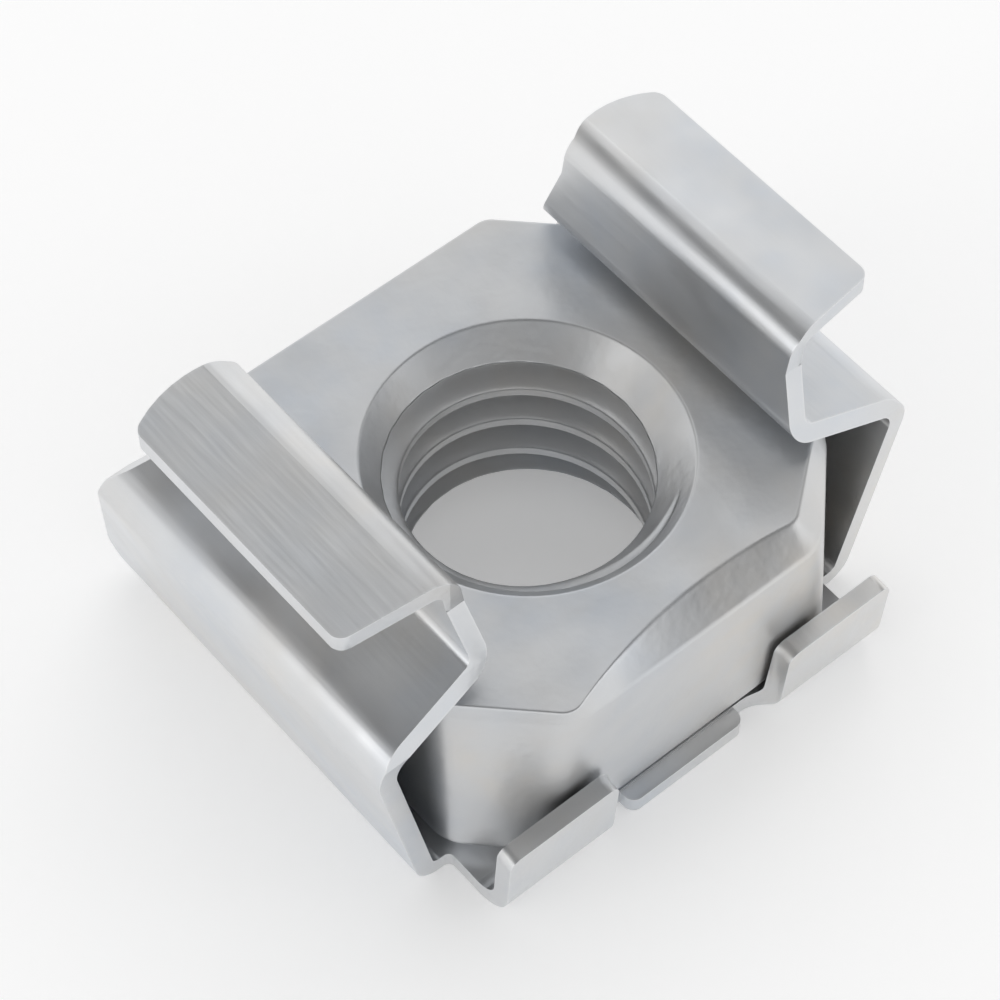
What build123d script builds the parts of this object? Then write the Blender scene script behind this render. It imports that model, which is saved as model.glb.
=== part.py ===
from build123d import *
import os

# Nut retainer for square rack holes: a square nut held loosely in a folded spring steel cage.
# The origin is in the middle of the cage's underside. +Z points out through the ears and
# X runs across them. The nut lies off the middle, towards the flanges on the -Y side.
# All sizes are in millimetres.

# Thread and its two countersinks
tap_radius = 2.5
screw_radius = 3.0
sink_lip = 0.25
foot_sink = 1.0

# Square nut, its +Y and -Y sides drafted inwards and its corner facets outwards down to the foot
nut_across = 10.0
nut_height = 5.1
corner_cut = 1.9
corner_round = 1.0
foot_draft = 0.28
foot_corner_cut = 1.2
foot_chamfer = 0.4

# Crown: a shallow band below the top face, bowed in by the die on the -Y side
crown_depth = 0.45
crown_round = 0.4
bow_dip = 0.72
bow_deepest = 0.9
bow_end_dip = 0.55
bow_end_cut = 2.1

# Spring steel sheet and the middle radii of its bends
sheet = 0.4
bend = 0.4
shoulder_bend = 0.7
flange_bend = 0.7

# Play between the nut and the cage
side_play = 0.26
top_play = 0.45
end_play = 0.25
nut_lie = 0.45

# Ears, set by the square hole that they clip into
panel_hole = 9.5
hole_play = 0.33
ear_height = 2.2
ear_lean = 0.32
lip_reach = 2.19
lip_drop = 0.39
lip_round = 0.3

# Shoulders and side walls
wall_spread = 1.03
shoulder_drop = 0.88

# Ends of the ears, shoulders and walls along Y, from the middle of the cage, near and far
near_wall_end = 3.95
near_shoulder_end = 4.1
near_foot_end = 3.8
near_fold_end = 3.29
near_lip_end = 2.85
far_wall_end = 6.2
far_wall_round = 1.0
far_shoulder_end = 4.4
far_foot_end = 3.55
far_fold_end = 3.15
far_lip_end = 3.1
far_lip_bow = 0.3

# Upturned end flanges with a flat tongue between them
flange_height = 2.0
flange_lean = 0.15
flange_set_in = 0.36
flange_inner = 2.2
flange_round = 0.25
root_round = 0.5
root_set = 0.36
tongue_half = 1.5
tongue_reach = 0.36
tongue_round = 0.25

# Screw hole through the base, the slots that part the far flanges from the walls, and the small
# round in the corner between the base strip and the near end of each wall
hole_radius = 3.75
corner_gap = 0.25
corner_relief = 0.15

# Levels and sheet middle lines that follow from the sizes above
mid = sheet / 2
nut_half = nut_across / 2
nut_top = sheet + nut_height
crown_foot = nut_top - crown_depth
wall_foot_x = nut_half + side_play + mid
flange_outer = wall_foot_x - mid - flange_set_in
shoulder_x = wall_foot_x + wall_spread
foot_z = nut_top + top_play + mid
shoulder_z = foot_z - shoulder_drop
fold_x = panel_hole / 2 - hole_play - mid
foot_x = fold_x - ear_lean
fold_z = foot_z + ear_height
lip_x = fold_x + lip_reach
lip_z = fold_z - lip_drop
flange_y = nut_half + end_play + mid
flange_top = sheet + flange_height
notch_y = flange_y - root_set
under_lip = lip_z - sheet
above = fold_z + sheet

# Nut: a square block with cut corners that flare to the foot, and a bowed band round the top
nut_plane = Plane((0, -nut_lie, 0))
with BuildPart() as nut:
    with BuildSketch(nut_plane.offset(sheet)) as nut_foot:
        Rectangle(nut_across, nut_across - 2 * foot_draft)
        chamfer(nut_foot.vertices(), foot_corner_cut)
        fillet(nut_foot.vertices(), corner_round)
    with BuildSketch(nut_plane.offset(crown_foot)) as nut_outline:
        Rectangle(nut_across, nut_across)
        chamfer(nut_outline.vertices(), corner_cut)
        fillet(nut_outline.vertices(), corner_round)
    loft(sections=[nut_foot.sketch, nut_outline.sketch], ruled=True)
    foot_rim = nut.faces().sort_by(Axis.Z)[0].outer_wire().edges()
    chamfer(foot_rim, foot_chamfer)
    with BuildSketch(nut_plane.offset(nut_top)) as crown_outline:
        with BuildLine():
            straight = Polyline(
                (nut_half, corner_cut - nut_half + bow_end_dip / 2),
                (nut_half, nut_half - corner_cut),
                (nut_half - corner_cut, nut_half),
                (corner_cut - nut_half, nut_half),
                (-nut_half, nut_half - corner_cut),
                (-nut_half, corner_cut - nut_half),
                (corner_cut - nut_half, -nut_half),
            )
            bow = ThreePointArc(
                straight @ 1,
                (bow_deepest, bow_dip - nut_half),
                (nut_half - bow_end_cut, bow_end_dip - nut_half),
            )
            Line(bow @ 1, straight @ 0)
        make_face()
        fillet(crown_outline.vertices(), crown_round)
    loft(sections=[nut_outline.sketch, crown_outline.sketch], ruled=True)
    with Locations(nut_plane.offset(nut_top)):
        CounterSinkHole(tap_radius, screw_radius + sink_lip, counter_sink_angle=90)
    bore_foot = nut.faces().sort_by(Axis.Z)[0].inner_wires()[0].edges()
    chamfer(bore_foot, foot_sink)

# Cage: one folded sheet, first the hoop of base, walls, shoulders and hooked ears
with BuildPart() as cage:
    with BuildSketch(Plane.XZ):
        with BuildLine():
            FilletPolyline(
                (-lip_x - sheet, lip_z - sheet * lip_drop / lip_reach),
                (-fold_x, fold_z),
                (-foot_x, foot_z),
                (-shoulder_x, shoulder_z),
                (-wall_foot_x, mid),
                (wall_foot_x, mid),
                (shoulder_x, shoulder_z),
                (foot_x, foot_z),
                (fold_x, fold_z),
                (lip_x + sheet, lip_z - sheet * lip_drop / lip_reach),
                radius=[bend, bend, shoulder_bend, bend, bend, shoulder_bend, bend, bend],
            )
        trace(line_width=sheet)
    extrude(amount=2 * flange_y, both=True)

    # The ends of the hoop as they show from the side
    with BuildSketch(Plane.YZ) as side_outline:
        with BuildLine():
            Polyline(
                (-near_wall_end, 0),
                (-near_wall_end, sheet),
                (-near_shoulder_end, shoulder_z),
                (-near_foot_end, foot_z),
                (-near_fold_end, under_lip),
                (-near_fold_end, above),
                (2 * far_fold_end, above),
                (2 * far_fold_end, under_lip),
                (far_fold_end, under_lip),
                (far_foot_end, foot_z),
                (far_shoulder_end, shoulder_z),
                (far_wall_end, 0),
                close=True,
            )
        make_face()
        far_corner = side_outline.vertices().group_by(Axis.Y)[0].sort_by(Axis.X)[-1]
        fillet(far_corner, far_wall_round)
    extrude(amount=2 * shoulder_x, both=True, mode=Mode.INTERSECT)

    # The ends of the lips as they show from above
    with BuildSketch(Plane.XY.offset(under_lip)) as lip_waste:
        Rectangle(4 * lip_x, 4 * flange_y)
        with BuildSketch(Plane.XY.offset(under_lip), mode=Mode.PRIVATE) as lip_outline:
            with BuildLine():
                right_lip = Polyline(
                    (0, -near_fold_end),
                    (fold_x, -near_fold_end),
                    (lip_x, -near_lip_end),
                    (lip_x, far_lip_end),
                )
                ThreePointArc(
                    right_lip @ 1,
                    ((fold_x + lip_x) / 2, far_lip_end + far_lip_bow),
                    (fold_x, far_fold_end),
                )
                Line((fold_x, far_fold_end), (0, far_fold_end))
                mirror(about=Plane.YZ)
            make_face()
            fillet(lip_outline.vertices().group_by(Axis.X)[-1], lip_round)
            fillet(lip_outline.vertices().group_by(Axis.X)[0], lip_round)
        add(lip_outline.sketch, mode=Mode.SUBTRACT)
    extrude(amount=lip_drop + 2 * sheet, mode=Mode.SUBTRACT)

    # Slots that part the far flanges from the walls
    with BuildSketch() as far_slot:
        with Locations((0, notch_y)):
            Rectangle(2 * (flange_outer + corner_gap), flange_y, align=(Align.CENTER, Align.MIN))
    extrude(amount=flange_top, mode=Mode.SUBTRACT)

    # Base strip with both ends turned up
    with BuildSketch(Plane.YZ):
        with BuildLine():
            FilletPolyline(
                (-flange_y - flange_lean, flange_top),
                (-flange_y, mid),
                (flange_y, mid),
                (flange_y + flange_lean, flange_top),
                radius=flange_bend,
            )
        trace(line_width=sheet)
    extrude(amount=flange_outer, both=True)

    # Gap between the flanges at each end, with rounded roots and the flat tongue in it
    near_end = Plane((0, -notch_y, 0), x_dir=(-1, 0, 0), z_dir=(0, 0, 1))
    far_end = Plane((0, notch_y, 0), x_dir=(1, 0, 0), z_dir=(0, 0, 1))
    for end in (near_end, far_end):
        with BuildSketch(end) as flange_gap:
            Rectangle(2 * flange_inner, 2 * flange_height, align=(Align.CENTER, Align.MIN))
            fillet(flange_gap.vertices().group_by(Axis.Y)[0], root_round)
        extrude(amount=flange_top + sheet, both=True, mode=Mode.SUBTRACT)
        with BuildSketch(end) as tongue:
            with Locations((0, -sheet)):
                Rectangle(2 * tongue_half, tongue_reach + sheet, align=(Align.CENTER, Align.MIN))
            fillet(tongue.vertices().group_by(Axis.Y)[-1], tongue_round)
        extrude(amount=sheet)
    tips = cage.edges().filter_by(Axis.X, reverse=True)
    tips = tips.filter_by_position(Axis.Z, flange_top - mid, flange_top + mid)
    tips = tips.filter_by_position(Axis.X, -flange_outer - corner_gap / 2, flange_outer + corner_gap / 2)
    fillet(tips, flange_round)

    # Small rounds in the corners between the base strip and the near ends of the walls
    inner_corners = cage.edges().filter_by(Axis.Z)
    inner_corners = inner_corners.filter_by_position(Axis.Z, 0, sheet)
    inner_corners = inner_corners.filter_by_position(Axis.Y, -near_wall_end - mid, -near_wall_end + mid)
    fillet(inner_corners, corner_relief)

    # Screw hole
    with BuildSketch():
        Circle(hole_radius)
    extrude(amount=sheet, mode=Mode.SUBTRACT)

nut.part.label = "nut"
cage.part.label = "cage"

os.makedirs("parts", exist_ok=True)
export_step(nut.part, "parts/nut.step")
export_step(cage.part, "parts/cage.step")
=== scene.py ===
import math

import bmesh
import bpy
from mathutils import Matrix, Vector


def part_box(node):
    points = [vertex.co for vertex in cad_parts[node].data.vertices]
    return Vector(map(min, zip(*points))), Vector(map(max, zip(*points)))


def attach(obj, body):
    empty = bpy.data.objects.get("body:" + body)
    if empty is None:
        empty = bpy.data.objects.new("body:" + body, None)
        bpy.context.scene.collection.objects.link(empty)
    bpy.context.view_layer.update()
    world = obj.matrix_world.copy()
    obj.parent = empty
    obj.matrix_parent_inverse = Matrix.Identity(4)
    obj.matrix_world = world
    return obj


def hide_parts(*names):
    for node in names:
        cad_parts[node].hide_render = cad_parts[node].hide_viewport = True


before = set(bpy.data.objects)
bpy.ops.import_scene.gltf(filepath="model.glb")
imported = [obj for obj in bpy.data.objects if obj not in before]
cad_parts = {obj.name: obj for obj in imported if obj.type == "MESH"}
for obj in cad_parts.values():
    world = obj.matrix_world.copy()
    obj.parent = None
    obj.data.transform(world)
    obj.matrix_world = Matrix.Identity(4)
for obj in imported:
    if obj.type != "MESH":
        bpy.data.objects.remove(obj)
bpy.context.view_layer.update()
scene = bpy.context.scene

MM = 0.001

# Patterns of the zinc finish: noise scale per metre, detail, and the stretch of the noise in use
DRIFT = 210.0, 3.0, 0.35, 0.65
SPOTS = 1300.0, 1.5, 0.35, 0.65
SMEAR = 700.0, 2.0, 0.3, 0.7
GRAIN_DETAIL = 1.5

# Zinc finish: how metallic, how strong its spots, and how far smears change the roughness
METAL_SHARE, SPOT_SHARE = 0.9, 0.6
SMOOTHER, ROUGHER = 0.06, 0.08

# Worn edges with a painted highlight: width in metres, roughness, gain in brightness that is partly
# wear and partly painted highlight, and rays that find them
WEAR_AND_HIGHLIGHT_WIDTH, EDGE_ROUGH, EDGE_WEAR_AND_HIGHLIGHT_GAIN, EDGE_RAYS = 7e-5, 0.285, 1.06, 4

# Cosines between the true and the eased surface at which the edge wear and painted highlight begin
# and are full
WEAR_AND_HIGHLIGHT_BEGINS, WEAR_AND_HIGHLIGHT_FULL = 0.995, 0.9

# Nut, in millimetres: its reach is taken from the solid, and its outlines follow the solid's
nut_low, nut_high = (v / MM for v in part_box("nut"))
NUT_Y = (nut_low.y + nut_high.y) / 2
NUT_HALF = (nut_high.x - nut_low.x) / 2
NUT_FOOT, NUT_TOP = nut_low.z, nut_high.z
CORNER_CUT, CORNER_ROUND = 1.9, 1.0
FOOT_CORNER_CUT, FOOT_DRAFT, FOOT_CHAMFER = 1.2, 0.28, 0.4
CROWN_DEPTH, CROWN_ROUND = 0.45, 0.4
BOW_DEEPEST, BOW_DIP = 0.9, 0.72
BOW_END_CUT, BOW_END_DIP = 2.1, 0.55

# Bore and thread, in millimetres
TAP_RADIUS, SCREW_RADIUS = 2.5, 3.0
TOP_SINK_RADIUS, FOOT_SINK = 3.25, 1.0
PITCH = 1.0

# Thread shape in turns: where it starts, half the flat at its root, and one flank
THREAD_START, ROOT_HALF, FLANK = 0.04, 0.06, 0.34

# Distances over which the nut's edges are rounded, in millimetres
FACE_EDGE, CHAMFER_EDGE, BODY_EDGE, CROWN_EDGE, RIM_EDGE = 0.07, 0.1, 0.07, 0.05, 0.04

# Rings that keep the flat faces flat beside a rounded edge: their number and spacing
SUPPORTS, SUPPORT_GAP = 3, 0.02

# Steps along the nut's mesh: corners, long sides, corner facets, rounded edges and the bore
CORNER_STEPS, SIDE_STEPS, FACET_STEPS, EDGE_STEPS, BORE_ROWS = 6, 38, 12, 4, 236

# Cage: the bevel on its cut edges, in metres and degrees
SHEET_BEVEL, SHEET_BEVEL_STEPS, SHEET_EDGE_ANGLE = 4.5e-5, 3, 32
SAME_POINT, SAME_PLANE_ANGLE = 1e-6, 1

# Light levels, where 1 is white, and the heights on the unit sky between which they change
FLOOR_TONE, FLOOR_LIFT = 0.9, 0.23
ROOM_LOW, ROOM_HIGH, ROOM_HEIGHTS = 0.75, 0.65, (0.15, 0.75)
BACKDROP_LOW, BACKDROP_HIGH, BACKDROP_HEIGHTS = 1.0, 0.2, (0.25, 0.7)

# Floor, in metres, a hair under the part
FLOOR_SIZE, FLOOR_DROP = 1.6, 1e-5

# Soft lights, in metres: name, place, width and level
SOFTBOXES = [
    ("top_back", (0.13, 0.155, 0.26), 0.34, 0.62),
    ("left", (-0.22, 0.04, 0.14), 0.14, 0.9),
    ("right", (0.16, -0.16, 0.12), 0.10, 0.8),
]
LIGHT_TARGET = (0, 0, 0.004)

# Camera at the drawing's viewpoint: millimetres for the lens, metres for the place
SENSOR_WIDTH, LENS = 36.0, 122.9
CAMERA_PLACE = (-0.024781, -0.029160, 0.058706)
CAMERA_BACK = (-0.366016, -0.436085, 0.822108)
CLIP_NEAR, CLIP_FAR = 0.002, 5.0

# Sockets of the mix node for each kind of value: factor, first, second and result
MIX_SOCKETS = {"FLOAT": (0, 2, 3, 0), "RGBA": (0, 6, 7, 2)}


# Small node helpers
def empty_tree(owner):
    owner.use_nodes = True
    owner.node_tree.nodes.clear()
    return owner.node_tree


def add_node(tree, kind, x, y, **values):
    node = tree.nodes.new(kind)
    node.location = (x, y)
    for name, value in values.items():
        setattr(node, name, value)
    return node


def link(tree, source, target):
    tree.links.new(source, target)


def noise(tree, coords, scale, detail, x, y):
    node = add_node(tree, "ShaderNodeTexNoise", x, y)
    node.inputs["Scale"].default_value = scale
    node.inputs["Detail"].default_value = detail
    link(tree, coords, node.inputs["Vector"])
    return node.outputs["Fac"]


def spread(tree, source, start, end, to_start, to_end, x, y):
    """The source's range from start to end, spread over another range and held at its ends."""
    node = add_node(tree, "ShaderNodeMapRange", x, y)
    node.inputs["From Min"].default_value = start
    node.inputs["From Max"].default_value = end
    node.inputs["To Min"].default_value = to_start
    node.inputs["To Max"].default_value = to_end
    link(tree, source, node.inputs["Value"])
    return node.outputs["Result"]


def patches(tree, coords, pattern, to_start, to_end, x, y):
    """Noise of the given pattern, spread over a range."""
    scale, detail, start, end = pattern
    made = noise(tree, coords, scale, detail, x, y)
    return spread(tree, made, start, end, to_start, to_end, x + 200, y)


def mix(tree, kind, factor, first, second, x, y):
    """A mix of two values, each of which is a socket to link or a constant."""
    node = add_node(tree, "ShaderNodeMix", x, y, data_type=kind)
    *sockets, result = MIX_SOCKETS[kind]
    for socket, value in zip(sockets, (factor, first, second)):
        if isinstance(value, bpy.types.NodeSocket):
            link(tree, value, node.inputs[socket])
        else:
            node.inputs[socket].default_value = value
    return node.outputs[result]


# Zinc plate on steel
def edge_mask(tree, x, y):
    """One where a small bevel would turn the surface away, which is along the edges."""
    eased = add_node(tree, "ShaderNodeBevel", x, y, samples=EDGE_RAYS)
    eased.inputs["Radius"].default_value = WEAR_AND_HIGHLIGHT_WIDTH
    shape = add_node(tree, "ShaderNodeNewGeometry", x, y - 150)
    alike = add_node(tree, "ShaderNodeVectorMath", x + 200, y, operation="DOT_PRODUCT")
    link(tree, eased.outputs["Normal"], alike.inputs[0])
    link(tree, shape.outputs["Normal"], alike.inputs[1])
    return spread(tree, alike.outputs["Value"], WEAR_AND_HIGHLIGHT_BEGINS, WEAR_AND_HIGHLIGHT_FULL, 0.0, 1.0, x + 600, y)


def zinc(name, tone, cool, warm, rough, grain_scale, grain_stretch, grain_depth):
    """Faint colour drift and spots, fine grain, and edges burnished smoother and brighter, the
    brighter edge colour being partly wear and partly a painted highlight.
    """
    material = bpy.data.materials.new(name)
    tree = empty_tree(material)
    out = add_node(tree, "ShaderNodeOutputMaterial", 900, 0)
    shader = add_node(tree, "ShaderNodeBsdfPrincipled", 600, 0)
    shader.inputs["Metallic"].default_value = METAL_SHARE
    link(tree, shader.outputs["BSDF"], out.inputs["Surface"])
    coords = add_node(tree, "ShaderNodeTexCoord", -1200, 0).outputs["Object"]
    edge = edge_mask(tree, -1100, -600)

    # Plating drifts between a cool and a warm tint over a few millimetres, with spots of its own tone
    warmth = patches(tree, coords, DRIFT, 0.0, 1.0, -900, 300)
    tint = mix(tree, "RGBA", warmth, (*cool, 1), (*warm, 1), -500, 300)
    spots = patches(tree, coords, SPOTS, 0.0, SPOT_SHARE, -900, 100)
    plating = mix(tree, "RGBA", spots, tint, (*tone, 1), -300, 200)
    # Along the edges the colour is brighter: partly wear, partly a painted highlight
    bright = [min(1.0, EDGE_WEAR_AND_HIGHLIGHT_GAIN * c) for c in tone]
    colour = mix(tree, "RGBA", edge, plating, (*bright, 1), 0, 200)
    link(tree, colour, shader.inputs["Base Color"])

    # Smears make the faces uneven in roughness
    faces = patches(tree, coords, SMEAR, rough - SMOOTHER, rough + ROUGHER, -900, -100)
    link(tree, mix(tree, "FLOAT", edge, faces, EDGE_ROUGH, -100, -200), shader.inputs["Roughness"])

    # Grain of the rolled or formed surface, stretched along one direction
    squeeze = add_node(tree, "ShaderNodeMapping", -1000, -950)
    squeeze.inputs["Scale"].default_value = grain_stretch
    link(tree, coords, squeeze.inputs["Vector"])
    grain = noise(tree, squeeze.outputs["Vector"], grain_scale, GRAIN_DETAIL, -800, -950)
    bump = add_node(tree, "ShaderNodeBump", 300, -500)
    bump.inputs["Strength"].default_value = 1.0
    bump.inputs["Distance"].default_value = grain_depth
    link(tree, grain, bump.inputs["Height"])
    link(tree, bump.outputs["Normal"], shader.inputs["Normal"])
    return material


cage_metal = zinc(
    "cage_zinc",
    tone=(0.74, 0.75, 0.76), cool=(0.68, 0.71, 0.75), warm=(0.77, 0.75, 0.72),
    rough=0.35, grain_scale=6500.0, grain_stretch=(1.0, 0.08, 1.0), grain_depth=5e-6,
)
nut_metal = zinc(
    "nut_zinc",
    tone=(0.68, 0.69, 0.70), cool=(0.62, 0.65, 0.69), warm=(0.71, 0.69, 0.66),
    rough=0.39, grain_scale=4500.0, grain_stretch=(1.0, 1.0, 1.0), grain_depth=6e-6,
)


# Outlines of the nut
def arc(centre, first, last, steps):
    """Points on the shorter arc from first to last about centre."""
    start, stop = first - centre, last - centre
    sweep = math.copysign(start.angle(stop), start.cross(stop))
    return [centre + Matrix.Rotation(sweep * k / steps, 2) @ start for k in range(steps + 1)]


def corner_arc(before, corner, after, radius):
    """Points round a corner, on an arc that touches both of its sides."""
    a = (before - corner).normalized()
    b = (after - corner).normalized()
    half = a.angle(b) / 2
    reach = radius / math.tan(half)
    centre = corner + (a + b).normalized() * (radius / math.sin(half))
    return arc(centre, corner + a * reach, corner + b * reach, CORNER_STEPS)


def arc_through(first, middle, last, steps):
    """Points on the arc from first to last that passes through middle."""
    a, b = middle - first, last - first
    d = 2 * a.cross(b)
    centre = first + Vector((
        b.y * a.length_squared - a.y * b.length_squared,
        a.x * b.length_squared - b.x * a.length_squared,
    )) / d
    return arc(centre, first, last, steps)


def cut_corners(half_x, half_y, cut):
    """The eight corners of a square with its own corners cut off, from the -Y side round by +X."""
    return [
        Vector((cut - half_x, -half_y)), Vector((half_x - cut, -half_y)),
        Vector((half_x, cut - half_y)), Vector((half_x, half_y - cut)),
        Vector((half_x - cut, half_y)), Vector((cut - half_x, half_y)),
        Vector((-half_x, half_y - cut)), Vector((-half_x, cut - half_y)),
    ]


def outline(corners, radius, bow=None):
    """A closed outline with rounded corners, its first side bowed through a point if one is given."""
    bowed = arc_through(corners[0], bow, corners[1], SIDE_STEPS) if bow else None
    arcs = []
    for i, corner in enumerate(corners):
        before, after = corners[i - 1], corners[(i + 1) % len(corners)]
        if bowed and i == 0:
            after = bowed[1]
        if bowed and i == 1:
            before = bowed[-2]
        arcs.append(corner_arc(before, corner, after, radius))
    points = []
    for i, turn in enumerate(arcs):
        points.extend(turn)
        here, there = turn[-1], arcs[(i + 1) % len(arcs)][0]
        if bowed and i == 0:
            points.extend(arc_through(here, bow, there, SIDE_STEPS)[1:-1])
            continue
        steps = SIDE_STEPS if i % 2 == 0 else FACET_STEPS
        points.extend(here.lerp(there, k / steps) for k in range(1, steps))
    return points


# Rings of the nut's skin
def ring(points, z):
    return [Vector((p.x, p.y, z)) for p in points]


def turned(radius_at, z, count):
    """A ring of the bore: evenly spaced points, starting at the outline's first corner."""
    first = math.atan2(-NUT_HALF, CORNER_CUT - NUT_HALF)
    made = []
    for k in range(count):
        angle = first + 2 * math.pi * k / count
        radius = radius_at(angle, z)
        made.append(Vector((radius * math.cos(angle), radius * math.sin(angle), z)))
    return made


def round_wall(radius):
    return lambda angle, z: radius


def thread_wall(angle, z):
    """Wall of the tapped bore: flanks with soft crests and roots, and the two countersinks."""
    phase = (z / PITCH - angle / (2 * math.pi) + THREAD_START) % 1.0
    away = abs(phase - 0.5)
    flank = max(0.0, min(1.0, (away - ROOT_HALF) / FLANK))
    flank = (flank + flank * flank * (3 - 2 * flank)) / 2
    wall = SCREW_RADIUS - (SCREW_RADIUS - TAP_RADIUS) * flank
    top = TOP_SINK_RADIUS - (NUT_TOP - z)
    foot = TAP_RADIUS + FOOT_SINK - (z - NUT_FOOT)
    return max(wall, top, foot)


def rounded_edge(before, here, after, edge):
    """Rings that turn an edge softly, with a few more on each side that keep the flat faces flat."""
    made = []
    for k in range(SUPPORTS, 0, -1):
        away = edge + k * SUPPORT_GAP
        made.append([q + (p - q).normalized() * away for p, q in zip(before, here)])
    for k in range(EDGE_STEPS + 1):
        t = k / EDGE_STEPS
        turn = []
        for p, q, r in zip(before, here, after):
            a = q + (p - q).normalized() * edge
            b = q + (r - q).normalized() * edge
            turn.append(a * (1 - t) ** 2 + q * 2 * t * (1 - t) + b * t ** 2)
        made.append(turn)
    for k in range(1, SUPPORTS + 1):
        away = edge + k * SUPPORT_GAP
        made.append([q + (r - q).normalized() * away for q, r in zip(here, after)])
    return made


def nut_rings():
    """Every ring of the skin in order: foot, sides, crown, top face and down the bore."""
    crown_foot = NUT_TOP - CROWN_DEPTH
    foot_half = NUT_HALF - FOOT_DRAFT
    face_cut = FOOT_CORNER_CUT - FOOT_CHAMFER * (2 - math.sqrt(2))
    face_corners = cut_corners(NUT_HALF - FOOT_CHAMFER, foot_half - FOOT_CHAMFER, face_cut)
    foot_face = outline(face_corners, CORNER_ROUND - FOOT_CHAMFER)
    foot = outline(cut_corners(NUT_HALF, foot_half, FOOT_CORNER_CUT), CORNER_ROUND)
    body = outline(cut_corners(NUT_HALF, NUT_HALF, CORNER_CUT), CORNER_ROUND)
    rise = FOOT_CHAMFER / (crown_foot - NUT_FOOT)
    chamfer_edge = [p.lerp(q, rise) for p, q in zip(foot, body)]
    crown_corners = cut_corners(NUT_HALF, NUT_HALF, CORNER_CUT)
    crown_corners[1] = Vector((NUT_HALF - BOW_END_CUT, BOW_END_DIP - NUT_HALF))
    crown_corners[2] = Vector((NUT_HALF, CORNER_CUT - NUT_HALF + BOW_END_DIP / 2))
    crown = outline(crown_corners, CROWN_ROUND, Vector((BOW_DEEPEST, BOW_DIP - NUT_HALF)))
    count = len(body)

    edges = [
        (turned(round_wall(TAP_RADIUS + FOOT_SINK), NUT_FOOT, count), RIM_EDGE),
        (ring(foot_face, NUT_FOOT), FACE_EDGE),
        (ring(chamfer_edge, NUT_FOOT + FOOT_CHAMFER), CHAMFER_EDGE),
        (ring(body, crown_foot), BODY_EDGE),
        (ring(crown, NUT_TOP), CROWN_EDGE),
        (turned(round_wall(TOP_SINK_RADIUS), NUT_TOP, count), RIM_EDGE),
    ]
    in_foot = turned(round_wall(TAP_RADIUS), NUT_FOOT + FOOT_SINK, count)
    in_top = turned(round_wall(TAP_RADIUS), NUT_TOP - TOP_SINK_RADIUS + TAP_RADIUS, count)
    whole = [in_foot] + [points for points, edge in edges] + [in_top]
    rings = []
    for i, (here, edge) in enumerate(edges):
        rings.extend(rounded_edge(whole[i], here, whole[i + 2], edge))

    # The countersinks are 45 degree cones, so the rims end at this depth
    rim_depth = (RIM_EDGE + SUPPORTS * SUPPORT_GAP) / math.sqrt(2)
    bore_top, bore_foot = NUT_TOP - rim_depth, NUT_FOOT + rim_depth
    for k in range(1, BORE_ROWS):
        z = bore_top + (bore_foot - bore_top) * k / BORE_ROWS
        rings.append(turned(thread_wall, z, count))
    return rings


def build_nut():
    bm = bmesh.new()
    rows = [[bm.verts.new((p.x * MM, (p.y + NUT_Y) * MM, p.z * MM)) for p in r] for r in nut_rings()]
    for i, row in enumerate(rows):
        under = rows[(i + 1) % len(rows)]
        for k in range(len(row)):
            after = (k + 1) % len(row)
            bm.faces.new((row[k], row[after], under[after], under[k]))
    bmesh.ops.recalc_face_normals(bm, faces=bm.faces)
    mesh = bpy.data.meshes.new("nut_threaded")
    bm.to_mesh(mesh)
    bm.free()
    mesh.shade_smooth()
    piece = bpy.data.objects.new("nut_threaded", mesh)
    scene.collection.objects.link(piece)
    piece.data.materials.append(nut_metal)
    return piece


nut = build_nut()
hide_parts("nut")
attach(nut, "root")


# Cage
def soften_sheet(piece):
    """Joins the solid's facets into whole faces, then rounds the sheet's cut edges a little."""
    weld = piece.modifiers.new("weld", "WELD")
    weld.merge_threshold = SAME_POINT
    merge = piece.modifiers.new("merge", "DECIMATE")
    merge.decimate_type = "DISSOLVE"
    merge.angle_limit = math.radians(SAME_PLANE_ANGLE)
    soften = piece.modifiers.new("soften", "BEVEL")
    soften.width = SHEET_BEVEL
    soften.segments = SHEET_BEVEL_STEPS
    soften.limit_method = "ANGLE"
    soften.angle_limit = math.radians(SHEET_EDGE_ANGLE)
    soften.harden_normals = True


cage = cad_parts["cage"]
cage.data.materials.clear()
cage.data.materials.append(cage_metal)
soften_sheet(cage)


# Studio: floor, room and lamps
def background_rays(tree, x, y):
    """One for camera, glossy and transmission rays, nothing for the rays that light the part."""
    path = add_node(tree, "ShaderNodeLightPath", x, y)
    total = path.outputs["Is Camera Ray"]
    for k, name in enumerate(("Is Glossy Ray", "Is Transmission Ray")):
        either = add_node(tree, "ShaderNodeMath", x + 200 * (k + 1), y, operation="MAXIMUM")
        link(tree, total, either.inputs[0])
        link(tree, path.outputs[name], either.inputs[1])
        total = either.outputs["Value"]
    return total


def paint_floor():
    """Pale, lifted to white where it is looked at, and still shaded by the part."""
    paint = bpy.data.materials.new("floor_paint")
    tree = empty_tree(paint)
    out = add_node(tree, "ShaderNodeOutputMaterial", 600, 0)
    pale = add_node(tree, "ShaderNodeBsdfDiffuse", 0, 100)
    pale.inputs["Color"].default_value = (FLOOR_TONE, FLOOR_TONE, FLOOR_TONE, 1)
    lift = add_node(tree, "ShaderNodeEmission", 0, -100)
    seen = background_rays(tree, -900, 300)
    link(tree, spread(tree, seen, 0.0, 1.0, 0.0, FLOOR_LIFT, -250, -100), lift.inputs["Strength"])
    both = add_node(tree, "ShaderNodeAddShader", 300, 0)
    link(tree, pale.outputs[0], both.inputs[0])
    link(tree, lift.outputs[0], both.inputs[1])
    link(tree, both.outputs[0], out.inputs["Surface"])
    return paint


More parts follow.
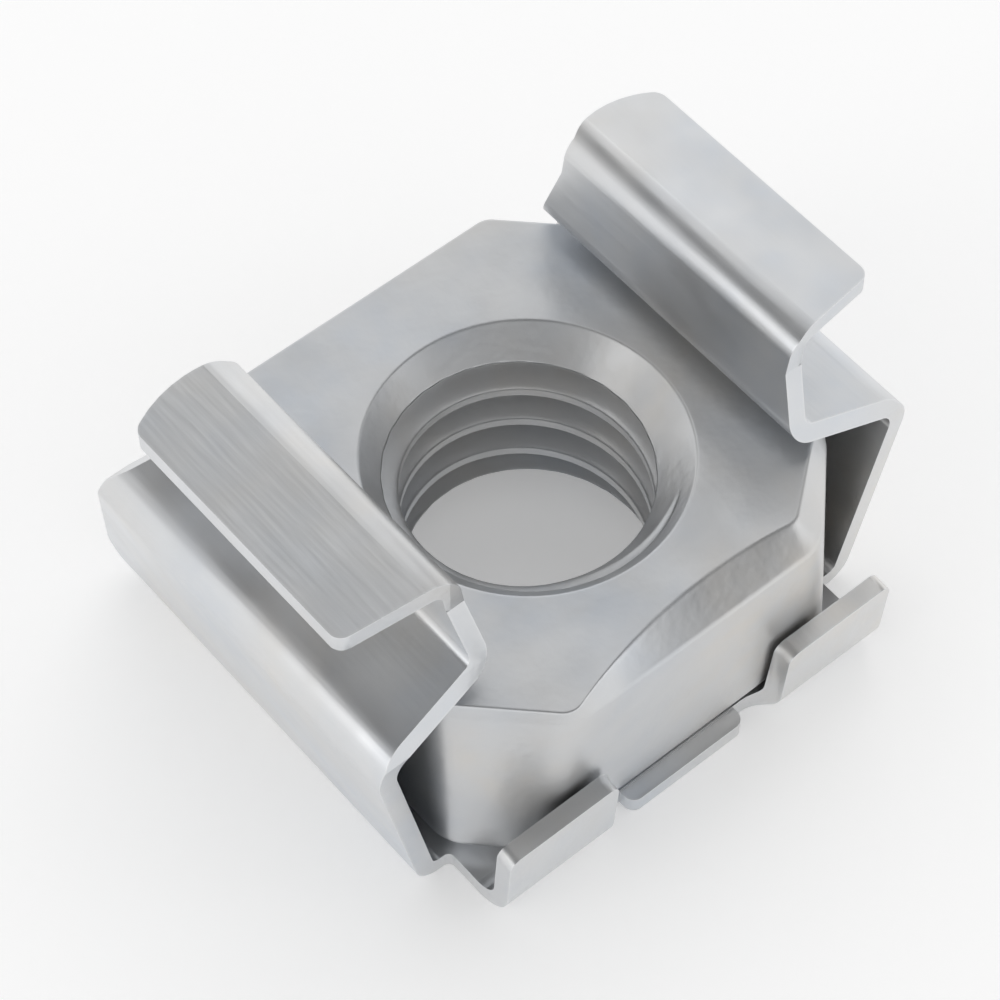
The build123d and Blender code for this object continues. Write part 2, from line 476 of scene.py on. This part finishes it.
def build_room():
    """A pale room, white at the level of the eye and dimmer overhead."""
    world = bpy.data.worlds.new("studio")
    scene.world = world
    tree = empty_tree(world)
    out = add_node(tree, "ShaderNodeOutputWorld", 600, 0)
    coords = add_node(tree, "ShaderNodeTexCoord", -800, 0)
    split = add_node(tree, "ShaderNodeSeparateXYZ", -600, 0)
    link(tree, coords.outputs["Generated"], split.inputs[0])
    height = split.outputs["Z"]
    room = spread(tree, height, *ROOM_HEIGHTS, ROOM_LOW, ROOM_HIGH, -400, 0)
    backdrop = spread(tree, height, *BACKDROP_HEIGHTS, BACKDROP_LOW, BACKDROP_HIGH, -400, -250)
    seen = background_rays(tree, -900, 400)
    sky = add_node(tree, "ShaderNodeBackground", 200, 0)
    sky.inputs["Color"].default_value = (1, 1, 1, 1)
    link(tree, mix(tree, "FLOAT", seen, room, backdrop, -100, 0), sky.inputs["Strength"])
    link(tree, sky.outputs[0], out.inputs["Surface"])


def softbox(name, place, size, level):
    """A round soft light aimed at the part, its power set from the brightness its face shows."""
    data = bpy.data.lights.new(name, "AREA")
    data.shape = "DISK"
    data.size = size
    face = math.pi * size * size / 4
    data.energy = level * math.pi * face
    lamp = bpy.data.objects.new(name, data)
    lamp.location = place
    lamp.rotation_mode = "QUATERNION"
    aim = Vector(LIGHT_TARGET) - Vector(place)
    lamp.rotation_quaternion = aim.to_track_quat("-Z", "Y")
    scene.collection.objects.link(lamp)


bpy.ops.mesh.primitive_plane_add(size=FLOOR_SIZE, location=(0, 0, -FLOOR_DROP))
floor = bpy.context.object
floor.name = "floor"
floor.data.materials.append(paint_floor())
build_room()
for box in SOFTBOXES:
    softbox(*box)

# Camera, level from side to side
camera_data = bpy.data.cameras.new("camera")
camera_data.sensor_width = SENSOR_WIDTH
camera_data.lens = LENS
camera_data.clip_start = CLIP_NEAR
camera_data.clip_end = CLIP_FAR
camera = bpy.data.objects.new("camera", camera_data)
scene.collection.objects.link(camera)
back = Vector(CAMERA_BACK)
right = Vector((0, 0, 1)).cross(back).normalized()
turn = Matrix((right, back.cross(right), back)).transposed()
camera.matrix_world = Matrix.Translation(CAMERA_PLACE) @ turn.to_4x4()
scene.camera = camera

scene.view_settings.view_transform = "Standard"
